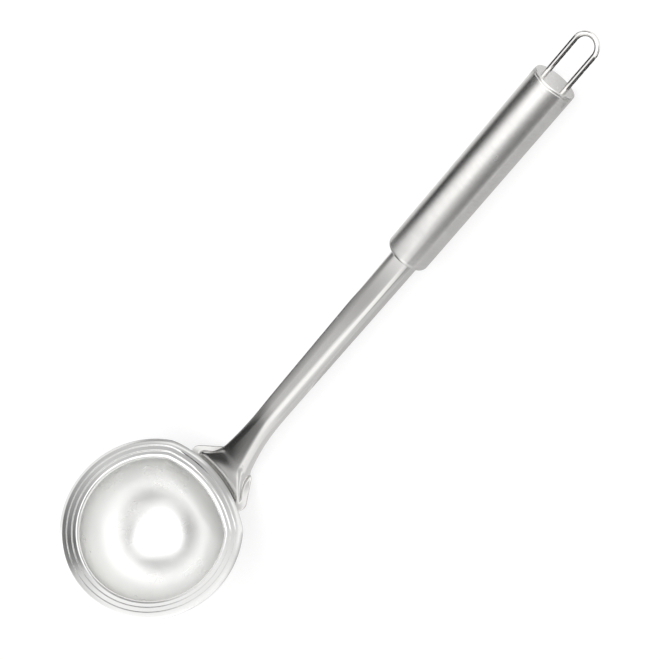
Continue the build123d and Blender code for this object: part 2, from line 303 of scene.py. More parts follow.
class FormSkin:
    """Lays a net of quads on the surface where a field of distances is zero."""

    # Cells along a block, and how many block widths from the surface a block's middle may lie.
    BLOCK = 8
    NEAR_WIDTHS = 1.3
    # Places worked out in one go, and the steps of the number that stands for a cell.
    BATCH = 400_000
    STRIDES = np.array([1, 4096, 4096 * 4096])
    CORNERS = [(a, b, c) for a in (0, 1) for b in (0, 1) for c in (0, 1)]
    # How the vertices are moved onto the surface.
    SETTLE_ROUNDS = 4
    SETTLE_STEP = 0.02
    LEAST_GRADIENT = 0.25
    LEAST_LENGTH = 1e-9

    def __init__(self, form: Field, low: Place, high: Place, cell: float) -> None:
        """Keeps what is to be skinned.

        Args:
            form: distance to the surface at each row of points, negative inside.
            low: lowest corner of the space to search.
            high: highest corner of it.
            cell: edge of a net cell.
        """
        self.form = form
        self.low = np.array(low, dtype=float)
        self.cell = cell
        self.blocks = np.ceil((np.array(high) - self.low) / (cell * self.BLOCK)).astype(int)

    def skin(self) -> tuple[np.ndarray, np.ndarray, np.ndarray]:
        """Makes the net.

        Returns:
            Vertices, quads and the exact normals at the vertices.
        """
        blocks, values = self._sample()
        points, keys = self._vertices(blocks, values)
        points, normals = self._settle(points)
        return points, self._quads(blocks, values < 0, keys), normals

    def _sample(self) -> tuple[np.ndarray, np.ndarray]:
        """Samples the field where the surface may be.

        Returns:
            The blocks that the surface may pass through, and the field at the nodes of each.
        """
        grid = np.stack(np.meshgrid(*[np.arange(n) for n in self.blocks], indexing="ij"), -1).reshape(-1, 3)
        width = self.cell * self.BLOCK
        middles = self.low + (grid + 0.5) * width
        near = grid[np.abs(self.form(middles)) < width * self.NEAR_WIDTHS]
        steps = np.stack(np.meshgrid(*[np.arange(self.BLOCK + 1)] * 3, indexing="ij"), -1)
        nodes = near[:, None, None, None, :] * self.BLOCK + steps[None]
        places = self.low + nodes.reshape(-1, 3) * self.cell
        batches = np.array_split(places, max(1, len(places) // self.BATCH))
        return near, np.concatenate([self.form(batch) for batch in batches]).reshape(nodes.shape[:-1])

    def _vertices(self, blocks: np.ndarray, values: np.ndarray) -> tuple[np.ndarray, np.ndarray]:
        """Puts a vertex in each cell that the surface passes through.

        Args:
            blocks: the blocks near the surface.
            values: the field at their nodes.

        Returns:
            The vertices, and one number for each that stands for its cell.
        """
        size = self.BLOCK
        inside = values < 0
        at_corners = (inside[:, a : a + size, b : b + size, c : c + size] for a, b, c in self.CORNERS)
        total = sum(corner.astype(int) for corner in at_corners)
        active = np.argwhere((total > 0) & (total < len(self.CORNERS)))
        base = blocks[active[:, 0]] * size + active[:, 1:]
        spots, weights = np.zeros((len(active), 3)), np.zeros(len(active))
        for axis in range(3):
            step = np.eye(3, dtype=int)[axis]
            for corner in (np.array(corner) for corner in self.CORNERS if not corner[axis]):
                one = values[(active[:, 0], *(active[:, 1:] + corner).T)]
                two = values[(active[:, 0], *(active[:, 1:] + corner + step).T)]
                crossing = (one < 0) != (two < 0)
                share = np.where(crossing, one / np.where(crossing, one - two, 1), 0)
                spots += np.where(crossing[:, None], corner + share[:, None] * step, 0)
                weights += crossing
        return self.low + (base + spots / weights[:, None]) * self.cell, base @ self.STRIDES

    def _quads(self, blocks: np.ndarray, inside: np.ndarray, keys: np.ndarray) -> np.ndarray:
        """Joins the four vertices round each grid edge that crosses the surface.

        Args:
            blocks: the blocks near the surface.
            inside: whether each of their nodes is inside.
            keys: the number of each vertex' cell.

        Returns:
            The quads.
        """
        size = self.BLOCK
        order = np.argsort(keys)
        sorted_keys = keys[order]
        first = inside[:, :size, :size, :size]
        quads = []
        for axis in range(3):
            second, third = (axis + 1) % 3, (axis + 2) % 3
            i, j, k = np.eye(3, dtype=int)[axis]
            shifted = inside[:, i : i + size, j : j + size, k : k + size]
            for flip, crossed in ((False, first & ~shifted), (True, ~first & shifted)):
                edges = np.argwhere(crossed)
                at = blocks[edges[:, 0]] * size + edges[:, 1:]
                loop = []
                for back_two, back_three in ((1, 1), (0, 1), (0, 0), (1, 0)):
                    cell = at.copy()
                    cell[:, second] -= back_two
                    cell[:, third] -= back_three
                    key = cell @ self.STRIDES
                    place = np.clip(np.searchsorted(sorted_keys, key), 0, len(keys) - 1)
                    loop.append(np.where(sorted_keys[place] == key, order[place], -1))
                quad = np.stack(loop[::-1] if flip else loop, 1)
                quads.append(quad[(quad >= 0).all(1)])
        return np.concatenate(quads)

    def _settle(self, points: np.ndarray) -> tuple[np.ndarray, np.ndarray]:
        """Moves points onto the surface.

        Args:
            points: vertices near the surface.

        Returns:
            The settled vertices and their normals.
        """
        step = self.SETTLE_STEP
        gradient = np.zeros_like(points)
        for _ in range(self.SETTLE_ROUNDS):
            for axis in range(3):
                offset = np.eye(3)[axis] * step
                gradient[:, axis] = (self.form(points + offset) - self.form(points - offset)) / (2 * step)
            square = np.maximum((gradient**2).sum(1), self.LEAST_GRADIENT)
            move = -(self.form(points) / square)[:, None] * gradient
            length = np.linalg.norm(move, axis=1, keepdims=True)
            points = points + move * np.minimum(1, self.cell / 2 / np.maximum(length, self.LEAST_LENGTH))
        steepness = np.linalg.norm(gradient, axis=1, keepdims=True)
        return points, gradient / np.maximum(steepness, self.LEAST_LENGTH)


# ---- finishes


def new_material(name: str) -> tuple[bpy.types.Material, Tree]:
    """Makes an empty material.

    Args:
        name: the material's name.

    Returns:
        The material and its node tree.
    """
    material = bpy.data.materials.new(name)
    material.use_nodes = True
    material.node_tree.nodes.clear()
    return material, material.node_tree


def add_node(
    tree: Tree,
    kind: str,
    settings: dict[str, object] | None = None,
    links: dict[str | int, Socket] | None = None,
) -> bpy.types.Node:
    """Adds a node to a material.

    Args:
        tree: the material's node tree.
        kind: the node's type, without the words that all their names start with.
        settings: values of the node's own fields, or of an input when the key starts with a colon.
        links: sockets to join to the node's inputs, by input name or number.

    Returns:
        The node.
    """
    node = tree.nodes.new("ShaderNode" + kind)
    for key, value in (settings or {}).items():
        if key.startswith(":"):
            name = key[1:]
            node.inputs[int(name) if name.isdigit() else name].default_value = value
        else:
            setattr(node, key, value)
    for name, socket in (links or {}).items():
        tree.links.new(socket, node.inputs[name])
    return node


def ease(tree: Tree, value: Socket, start: float, end: float) -> Socket:
    """Returns a socket that eases from 0 to 1 while the value goes from start to end."""
    settings = {"interpolation_type": "SMOOTHSTEP", ":From Min": start, ":From Max": end}
    return add_node(tree, "MapRange", settings, {"Value": value}).outputs[0]


def calculate(tree: Tree, operation: str, *values: Socket | float) -> Socket:
    """Works out a sum of sockets and numbers.

    Args:
        tree: the material's node tree.
        operation: the kind of sum.
        values: its sockets and numbers, in order.

    Returns:
        The socket of the result.
    """
    node = add_node(tree, "Math", {"operation": operation})
    for number, value in enumerate(values):
        if isinstance(value, float):
            node.inputs[number].default_value = value
        else:
            tree.links.new(value, node.inputs[number])
    return node.outputs[0]


class Grain(Enum):
    """Which way the lines of a ground or polished surface run."""

    ALONG = "along the handle"
    ROUND = "round the handle"
    ROUND_BOWL = "round the bowl"
    NONE = "no lines"


@dataclass(frozen=True)
class SteelFinish:
    """Stainless steel with one surface finish. Lengths are in millimetres.

    The colour is the metal's reflectance. Roughness varies a little over the surface, as handling and
    grinding leave it, and the grain's fine lines are drawn coarser than the real 0.02 mm grit marks,
    because those would not show. Where inside_roughness is given, it takes over down in the bowl.
    """

    name: str
    colour: str
    shade: str
    roughness: float
    roughness_spread: float
    grain: Grain
    line_spacing: float
    line_depth: float
    blotch: float = 14.0
    line_shade: float = 0.0
    inside_roughness: float = 0.0
    inside_levels: Point = (-2.0, -4.5)

    # Lengths of a line along the handle and of a mark round it, in line spacings.
    LINE_STRETCH = 60
    MARK_STRETCH = 12

    def build(self, placement: Placement, sizes: Sizes) -> bpy.types.Material:
        """Makes the material.

        Args:
            placement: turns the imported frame's places to the handle's direction.
            sizes: the ladle's sizes.

        Returns:
            The material.
        """
        material, tree = new_material(self.name)
        place = add_node(tree, "TexCoord").outputs["Object"]
        cloud = {":Scale": 1 / (self.blotch * MM), ":Detail": 3.0, ":Roughness": 0.55}
        blotch = add_node(tree, "TexNoise", cloud, {"Vector": place}).outputs["Fac"]
        lines = self._lines(tree, place, placement, sizes)
        shaded = calculate(tree, "MULTIPLY_ADD", lines, self.line_shade, -self.line_shade / 2)
        share = calculate(tree, "ADD", blotch, shaded)
        colours = {"data_type": "RGBA", ":6": linear_colour(self.colour), ":7": linear_colour(self.shade)}
        colour = add_node(tree, "Mix", colours, {0: share}).outputs[2]
        least, most = self.roughness - self.roughness_spread, self.roughness + self.roughness_spread
        spread = {":To Min": least, ":To Max": most}
        roughness = add_node(tree, "MapRange", spread, {"Value": blotch}).outputs[0]
        if self.inside_roughness:
            level = self._in_bowl(tree, place, placement).outputs[2]
            depth = ease(tree, level, *(limit * MM for limit in self.inside_levels))
            more = self.inside_roughness - self.roughness
            roughness = calculate(tree, "MULTIPLY_ADD", depth, more, roughness)
        relief = {":Strength": 1.0, ":Distance": self.line_depth * MM}
        normal = add_node(tree, "Bump", relief, {"Height": lines}).outputs[0]
        surface = {"Base Color": colour, "Roughness": roughness, "Normal": normal}
        shader = add_node(tree, "BsdfPrincipled", {":Metallic": 1.0}, surface).outputs[0]
        add_node(tree, "OutputMaterial", {}, {"Surface": shader})
        return material

    def _in_bowl(self, tree: Tree, place: Socket, placement: Placement) -> bpy.types.Node:
        """Turns places to the bowl's own frame.

        Args:
            tree: the material's node tree.
            place: the socket with the place on the surface.
            placement: turns the bowl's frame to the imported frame.

        Returns:
            The node whose outputs are the place's x, y and z there, in metres.
        """
        centre = placement.place(np.array([[0.0, 0.0, 0.0]]))[0]
        axis = placement.turned(np.array([0.0, 0.0, 1.0]))
        angle = (0.0, -math.atan2(axis[0], axis[2]), 0.0)
        moved = add_node(tree, "VectorMath", {"operation": "SUBTRACT", ":1": tuple(centre)}, {0: place})
        turn = {"rotation_type": "EULER_XYZ", ":Rotation": angle}
        level = add_node(tree, "VectorRotate", turn, {"Vector": moved.outputs[0]})
        return add_node(tree, "SeparateXYZ", {}, {0: level.outputs[0]})

    def _lines(self, tree: Tree, place: Socket, placement: Placement, sizes: Sizes) -> Socket:
        """Adds the pattern of the grain.

        Args:
            tree: the material's node tree.
            place: the socket with the place on the surface.
            placement: turns the bowl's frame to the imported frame.
            sizes: the ladle's sizes.

        Returns:
            The socket with the pattern's height.
        """
        fine = 1 / (self.line_spacing * MM)
        if self.grain is Grain.ROUND_BOWL:
            split = self._in_bowl(tree, place, placement).outputs
            flat = add_node(tree, "CombineXYZ", {}, {0: split[0], 1: split[1]})
            reach = add_node(tree, "VectorMath", {"operation": "LENGTH"}, {0: flat.outputs[0]})
            bands = add_node(tree, "CombineXYZ", {}, {0: reach.outputs["Value"], 1: split[2]})
            noise = add_node(tree, "TexNoise", {":Scale": fine, ":Detail": 2.0}, {"Vector": bands.outputs[0]})
            return noise.outputs["Fac"]
        line, mark = fine / self.LINE_STRETCH, fine / self.MARK_STRETCH
        scale = {
            Grain.ALONG: (line, fine, fine),
            Grain.ROUND: (fine, mark, mark),
            Grain.NONE: (fine, fine, fine),
        }[self.grain]
        direction = placement.turned(np.array([math.cos(sizes.slope), 0.0, math.sin(sizes.slope)]))
        angle = (0.0, math.atan2(direction[2], direction[0]), 0.0)
        turn = {"rotation_type": "EULER_XYZ", ":Rotation": angle}
        level = add_node(tree, "VectorRotate", turn, {"Vector": place}).outputs[0]
        stretch = {"operation": "MULTIPLY", ":1": scale}
        stretched = add_node(tree, "VectorMath", stretch, {0: level}).outputs[0]
        noise = add_node(tree, "TexNoise", {":Scale": 1.0, ":Detail": 3.0}, {"Vector": stretched})
        return noise.outputs["Fac"]


# Deep-drawn sheet, buffed to a mirror: crisp reflections with a faint haze of buffing rings.
BUFFED_BOWL = SteelFinish(
    "buffed_stainless_bowl", "#EAEAE9", "#E5E5E4", 0.16, 0.03, Grain.ROUND_BOWL, 0.5, 0.0006,
    inside_roughness=0.28,
)
# Pressed and tumbled strip: bright, a little softer than the bowl, with faint lines along it.
BRIGHT_STEM = SteelFinish(
    "bright_stainless_strip", "#E9E8E6", "#E1E0DE", 0.17, 0.03, Grain.ALONG, 0.4, 0.0012
)
# Drawn tube, ground on a belt that runs round it: a satin sheen with short marks across the handle.
SATIN_TUBE = SteelFinish(
    "satin_ground_tube", "#EDECEA", "#DAD9D7", 0.26, 0.04, Grain.ROUND, 0.45, 0.006, 9.0, line_shade=1.0
)
# Turned disc: satin face with the same grit.
TURNED_CAP = SteelFinish("turned_stainless_cap", "#E6E5E3", "#DCDBD9", 0.27, 0.03, Grain.NONE, 0.3, 0.0006)
# Cold-drawn wire: bright and smooth.
DRAWN_WIRE = SteelFinish("bright_drawn_wire", "#E8E7E5", "#DFDEDC", 0.14, 0.02, Grain.ALONG, 0.4, 0.001)
# Brushed weld bead: rougher and darker, with small ripples.
WELD_BEAD = SteelFinish("brushed_weld_bead", "#B9B5AE", "#A5A09A", 0.38, 0.06, Grain.NONE, 0.6, 0.02, 3.0)


# ---- the ladle's pieces


@dataclass
class Bowl:
    """The pressed bowl with its stepped lip, flattened on one side for the stem."""

    sizes: Sizes
    round_count: int = 400
    bottom_steps: int = 42
    halvings: int = 40
    bottom_ease: float = 1.8
    rim_ease: float = 0.1
    full_ease_dip: float = 0.2
    edge_rounding: float = 0.34
    crown_rounding: float = 3.0
    crest_rounding: float = 0.45
    tread_rounding: float = 0.35
    step_rounding: float = 0.3

    @property
    def turns(self) -> np.ndarray:
        """Returns the angle of each vertex of a ring."""
        return np.arange(self.round_count) * 2 * math.pi / self.round_count

    def reach(self, turns: np.ndarray, round_radius: float, corner: float, seat_radius: float) -> np.ndarray:
        """Gives the distance from the bowl's axis to its outline.

        Args:
            turns: angles about the axis, from the handle's side.
            round_radius: radius of the round part of the outline.
            corner: radius of its corners at the seat.
            seat_radius: radius of the flat arc at the seat.

        Returns:
            One distance for each angle.
        """
        centre = self.sizes.seat_centre
        turns = np.abs((turns + math.pi) % (2 * math.pi) - math.pi)
        away_round, away_seat = round_radius - corner, seat_radius - corner
        along = (away_seat**2 - away_round**2 - centre**2) / (-2 * centre)
        if centre + seat_radius >= round_radius or abs(along) >= away_round:
            return np.full_like(turns, round_radius)
        across = math.sqrt(away_round**2 - along**2)
        round_end = math.atan2(across, along)
        seat_turn = math.atan2(across, along - centre)
        seat_end = math.atan2(seat_radius * math.sin(seat_turn), centre + seat_radius * math.cos(seat_turn))

        def meet(x: float, y: float, radius: float) -> np.ndarray:
            """Returns where the rays meet the far side of a circle."""
            middle = x * np.cos(turns) + y * np.sin(turns)
            return middle + np.sqrt(np.maximum(middle**2 - x * x - y * y + radius**2, 0))

        found = np.where(turns > round_end, round_radius, meet(along, across, corner))
        return np.where(turns < seat_end, meet(centre, 0.0, seat_radius), found)

    def lip_ring(self, inset: float, level: float) -> np.ndarray:
        """Gives one ring of vertices of the lip.

        Args:
            inset: distance in from the lip's edge.
            level: the ring's z.

        Returns:
            The ring's vertices.
        """
        s, turns = self.sizes, self.turns
        reach = self.reach(turns, s.lip_radius - inset, s.seat_corner - inset, s.seat_radius - inset)
        return np.stack([reach * np.cos(turns), reach * np.sin(turns), np.full_like(turns, level)], 1)

    def bottom_ring(self, inset: float, dip: float) -> np.ndarray:
        """Gives one ring of vertices of the round bottom.

        The bottom is where a ball and the seat's curved wall overlap, eased into each other as drawing
        the sheet does it. Each ray from the middle of the rim is halved down onto it.

        Args:
            inset: distance in from the outside.
            dip: how far the ring's rays point down, in radians.

        Returns:
            The ring's vertices.
        """
        s, turns = self.sizes, self.turns
        down = np.full_like(turns, -math.sin(dip))
        rays = np.stack([np.cos(turns) * math.cos(dip), np.sin(turns) * math.cos(dip), down], 1)
        easing = self.rim_ease + self.bottom_ease * min(1.0, dip / self.full_ease_dip)
        bend = s.seat_wall_curve - inset
        bend_ring = s.seat_radius - s.bowl_wall - s.seat_wall_curve
        near = np.zeros_like(turns)
        far = np.full_like(turns, s.bowl_radius)
        for _ in range(self.halvings):
            reach = (near + far) / 2
            spot = rays * reach[:, None]
            ball_field = reach - (s.bowl_radius - inset)
            from_seat = np.hypot(spot[:, 0] - s.seat_centre, spot[:, 1])
            outside = soft_meet(ball_field, np.hypot(from_seat - bend_ring, spot[:, 2]) - bend, easing) > 0
            near, far = np.where(outside, near, reach), np.where(outside, reach, far)
        return rays * near[:, None] - np.array([0.0, 0.0, s.wall_height])

    def lip_path(self) -> tuple[list[Point], list[Point]]:
        """Draws the lip in section.

        Returns:
            Its top and its underside, each point with its distance in from the edge and its level.
        """
        s = self.sizes
        crest = s.outer_width
        first = crest + s.riser_run
        second = first + s.middle_width
        third = second + s.riser_run
        tread = -2 * s.riser_height
        wall_in, wall_out = s.bowl_wall + s.sheet, s.bowl_wall
        top = [
            (0.0, -s.edge_drop - s.sheet / 2, 0.0),
            (0.0, -s.edge_drop, self.edge_rounding),
            (crest / 2, -s.edge_drop / 4, self.crown_rounding),
            (crest, 0.0, self.crest_rounding),
            (first, -s.riser_height, self.step_rounding),
            (second, -s.riser_height, self.tread_rounding),
            (third, tread, self.step_rounding),
            (wall_in, tread, s.lip_rounding + s.sheet),
            (wall_in, -s.wall_height, 0.0),
        ]
        under = [
            (wall_out, -s.wall_height, 0.0),
            (wall_out, tread - s.sheet, s.lip_rounding),
            (third, tread - s.sheet, self.step_rounding),
            (second, -s.riser_height - s.sheet, self.step_rounding),
            (first, -s.riser_height - s.sheet, self.step_rounding),
            (crest, -s.sheet, self.step_rounding),
            (crest / 2, -s.edge_drop / 4 - s.sheet, self.crown_rounding),
            (0.0, -s.edge_drop - s.sheet, self.edge_rounding),
            (0.0, -s.edge_drop - s.sheet / 2, 0.0),
        ]
        return rounded_path(top), rounded_path(under)[:-1]

    def build(self, maker: MeshMaker) -> bpy.types.Object:
        """Builds the bowl.

        Args:
            maker: makes the mesh.

        Returns:
            The bowl.
        """
        s = self.sizes
        top, under = self.lip_path()
        rings = [self.lip_ring(inset, level) for inset, level in top]
        dips = [step / self.bottom_steps * math.pi / 2 for step in range(1, self.bottom_steps)]
        rings += [self.bottom_ring(s.sheet, dip) for dip in dips]
        inner_end = len(rings)
        rings += [self.bottom_ring(0.0, dip) for dip in reversed(dips)]
        rings += [self.lip_ring(inset, level) for inset, level in under]
        count = self.round_count
        points = np.concatenate(rings)
        faces = ring_faces(len(rings), count, closed=True)
        faces = [face for face in faces if face[0] // count != inner_end - 1]
        inner_pole, outer_pole = len(points), len(points) + 1
        bottom = -s.wall_height - s.bowl_radius
        poles = np.array([[0, 0, bottom + s.sheet], [0, 0, bottom]])
        for spot in range(count):
            following = (spot + 1) % count
            faces.append((inner_pole, (inner_end - 1) * count + spot, (inner_end - 1) * count + following))
            faces.append((outer_pole, inner_end * count + following, inner_end * count + spot))
        return maker.add("polished_bowl", np.concatenate([points, poles]), faces)


def off_centre(centre: np.ndarray, radius: float, turn: float) -> np.ndarray:
    """Returns the point of a circle at an angle from straight up, towards the bowl."""
    return centre + np.array([-math.sin(turn), math.cos(turn)]) * radius


@dataclass
class Stem:
    """The pressed stem with its saddle, as one field of distances that is skinned."""

    sizes: Sizes
    sheet: float = 1.5
    straight_length: float = 95.0
    bend_length: float = 43.0
    crown_rise: float = 3.2
    skirt_drop: float = 2.8
    crown_bend: float = 213.0
    skirt_bend: float = 173.0
    skirt_bend_length: float = 47.5
    mouth_half_width: float = 6.8
    neck_half_width: float = 6.0
    neck_x: float = 72.0
    neck_flare: float = 82.0
    neck_flare_run: float = 22.0
    saddle_flare: float = 15.0
    saddle_flare_angle: float = 51.0
    saddle_corner: float = 6.0
    crown_flare: float = 10.0
    crown_end_slope: float = 35.0
    shoulder: float = 4.8
    lip_gap: float = 0.5
    face_lean: float = 40.0
    wing_half_span: float = 20.0
    wing_reach: float = 3.5
    heel_half_width: float = 9.5
    wing_tip_radius: float = 2.0
    wall_gap: float = 0.3
    face_rounding: float = 0.9
    foot_rounding: float = 0.8
    heel_rounding: float = 1.5
    edge_rounding: float = 0.3
    in_handle: float = 2.0
    net_cell: float = 0.42
    search_low: Place = (28.0, -22.0, -5.0)
    search_past_mouth: Place = (4.0, 22.0, 8.0)

    @property
    def wing_top(self) -> float:
        """Returns the level of the wings' top, under the lip."""
        return -2 * self.sizes.riser_height - self.sizes.sheet

    @property
    def skirt_arc(self) -> tuple[np.ndarray, np.ndarray]:
        """Returns the x and z where the skirts' lower edge starts to bend, and those of the bend's centre."""
        s = self.sizes
        start = s.along_handle(-self.straight_length, -self.skirt_drop)[[0, 2]]
        return start, off_centre(start, -self.skirt_bend, s.slope)

    @property
    def heel_x(self) -> float:
        """Returns the x of the saddle's heel, where the skirts come down to the wings."""
        turn = self.sizes.slope + self.skirt_bend_length / self.skirt_bend
        return float(off_centre(self.skirt_arc[1], self.skirt_bend, turn)[0])

    def crown_field(self, x: np.ndarray, z: np.ndarray) -> np.ndarray:
        """Measures from the stem's crown, which is the same all across it.

        Args:
            x: places' x.
            z: places' z.

        Returns:
            The distance above the crown.
        """
        s = self.sizes
        slope, end = s.slope, math.radians(self.crown_end_slope)
        turn = slope + self.bend_length / self.crown_bend
        bend = s.along_handle(-self.straight_length, self.crown_rise)[[0, 2]]
        centre = off_centre(bend, -self.crown_bend, slope)
        join = off_centre(centre, self.crown_bend, turn)
        flare_centre = off_centre(centre, self.crown_bend + self.crown_flare, turn)
        last = off_centre(flare_centre, -self.crown_flare, end)

        def beyond(point: np.ndarray, angle: float) -> np.ndarray:
            """Returns how far a place lies up the stem from a point where two lines join."""
            return (x - point[0]) * math.cos(angle) + (z - point[1]) * math.sin(angle)

        straight = -(x - bend[0]) * math.sin(slope) + (z - bend[1]) * math.cos(slope)
        tail = -(x - last[0]) * math.sin(end) + (z - last[1]) * math.cos(end)
        curve = np.hypot(x - centre[0], z - centre[1]) - self.crown_bend
        flare = self.crown_flare - np.hypot(x - flare_centre[0], z - flare_centre[1])
        lower = np.where(beyond(last, end) > 0, flare, tail)
        lower = np.where(beyond(join, turn) > 0, curve, lower)
        return np.where(beyond(bend, slope) > 0, straight, lower)

    def side_field(self, x: np.ndarray, y: np.ndarray) -> np.ndarray:
        """Measures from the stem's plan outline.

        Args:
            x: places' x.
            y: places' y.

        Returns:
            The distance out of the outline.
        """
        s = self.sizes
        y = np.abs(y)
        turn_one = math.asin(self.neck_flare_run / self.neck_flare)
        turn_two = math.radians(self.saddle_flare_angle)
        one = np.array([self.neck_x, self.neck_half_width + self.neck_flare])
        back, on = self.neck_flare - self.saddle_flare, self.saddle_flare + self.saddle_corner
        two = one - np.array([math.sin(turn_one), math.cos(turn_one)]) * back
        three = two - np.array([math.sin(turn_two), math.cos(turn_two)]) * on
        taper = math.atan2(self.mouth_half_width - self.neck_half_width, s.mouth_x - self.neck_x)
        straight = (y - self.neck_half_width) * math.cos(taper) - (x - self.neck_x) * math.sin(taper)
        first = self.neck_flare - np.hypot(x - one[0], y - one[1])
        second = self.saddle_flare - np.hypot(x - two[0], y - two[1])
        corner = np.hypot(x - three[0], y - three[1]) - self.saddle_corner
        flat = y - three[1] - self.saddle_corner

        def beyond(point: np.ndarray, angle: float) -> np.ndarray:
            """Returns how far a place lies up the stem from the joint seen from a centre at an angle."""
            return (x - point[0]) * math.cos(angle) - (y - point[1]) * math.sin(angle)

        low = np.where(x > three[0], corner, flat)
        low = np.where(beyond(two, turn_two) > 0, second, low)
        low = np.where(beyond(one, turn_one) > 0, first, low)
        return np.where(x > self.neck_x, straight, low)

    def skirt_field(self, x: np.ndarray, z: np.ndarray) -> np.ndarray:
        """Measures from the skirts' lower edge.

        Args:
            x: places' x.
            z: places' z.

        Returns:
            The distance below the edge.
        """
        slope = self.sizes.slope
        start, centre = self.skirt_arc
        straight = (x - start[0]) * math.sin(slope) - (z - start[1]) * math.cos(slope)
        curve = self.skirt_bend - np.hypot(x - centre[0], z - centre[1])
        up_stem = (x - start[0]) * math.cos(slope) + (z - start[1]) * math.sin(slope)
        return round_join(np.where(up_stem > 0, straight, curve), x - self.heel_x, self.heel_rounding)

    def hood_field(self, places: np.ndarray) -> np.ndarray:
        """Measures from the hood's outer form, which is open below.

        Args:
            places: one place in each row.

        Returns:
            The distance out of the form.
        """
        s = self.sizes
        x, y, z = places.T
        hood = round_meet(self.crown_field(x, z), self.side_field(x, y), self.shoulder)
        lean = math.radians(self.face_lean)
        from_seat = np.hypot(x - s.seat_centre, y)
        base = s.seat_radius + self.lip_gap
        face = (base - from_seat) * math.cos(lean) + (z - self.wing_top) * math.sin(lean)
        return round_meet(hood, face, self.face_rounding)

    def wing_field(self, places: np.ndarray) -> np.ndarray:
        """Measures from the two wings.

        Args:
            places: one place in each row.

        Returns:
            The distance out of them.
        """
        s = self.sizes
        x, y, z = places.T
        y = np.abs(y)
        tip_radius = s.seat_radius + self.wing_reach
        turn = math.asin(self.wing_half_span / tip_radius)
        tip = np.array([s.seat_centre + tip_radius * math.cos(turn), self.wing_half_span])
        heel = np.array([self.heel_x, self.heel_half_width])
        edge = (tip - heel) / np.linalg.norm(tip - heel)
        outer = (x - heel[0]) * edge[1] - (y - heel[1]) * edge[0]
        end = -(x - tip[0]) * math.sin(turn) + (y - tip[1]) * math.cos(turn)
        inner = s.seat_radius - s.bowl_wall + s.lip_rounding + self.wall_gap - np.hypot(x - s.seat_centre, y)
        plan = round_meet(outer, end, self.wing_tip_radius)
        plan = round_meet(plan, x - self.heel_x, self.wing_tip_radius / 2)
        slab = np.abs(z - self.wing_top + self.sheet / 2) - self.sheet / 2
        return round_meet(np.maximum(plan, inner), slab, self.edge_rounding)

    def field(self, places: np.ndarray) -> np.ndarray:
        """Measures from the whole stem.

        Args:
            places: one place in each row.

        Returns:
            The distance out of it.
        """
        s = self.sizes
        x, _, z = places.T
        hood = self.hood_field(places)
        low = self.wing_top - self.sheet - z
        along = (x - s.mouth_x) * math.cos(s.slope) + (z - s.mouth_z) * math.sin(s.slope)
        solid = round_meet(hood, self.skirt_field(x, z), self.edge_rounding)
        solid = np.maximum(round_join(solid, self.wing_field(places), self.foot_rounding), low)
        return np.maximum(round_meet(solid, -(hood + self.sheet), self.edge_rounding), along - self.in_handle)

    def build(self, maker: MeshMaker) -> bpy.types.Object:
        """Builds the stem.

        Args:
            maker: makes the mesh.

        Returns:
            The stem.
        """
        mouth = (self.sizes.mouth_x, 0.0, self.sizes.mouth_z)
        high = tuple(place + past for place, past in zip(mouth, self.search_past_mouth))
        points, faces, normals = FormSkin(self.field, self.search_low, high, self.net_cell).skin()
        return maker.add("bright_stem", points, faces, normals)


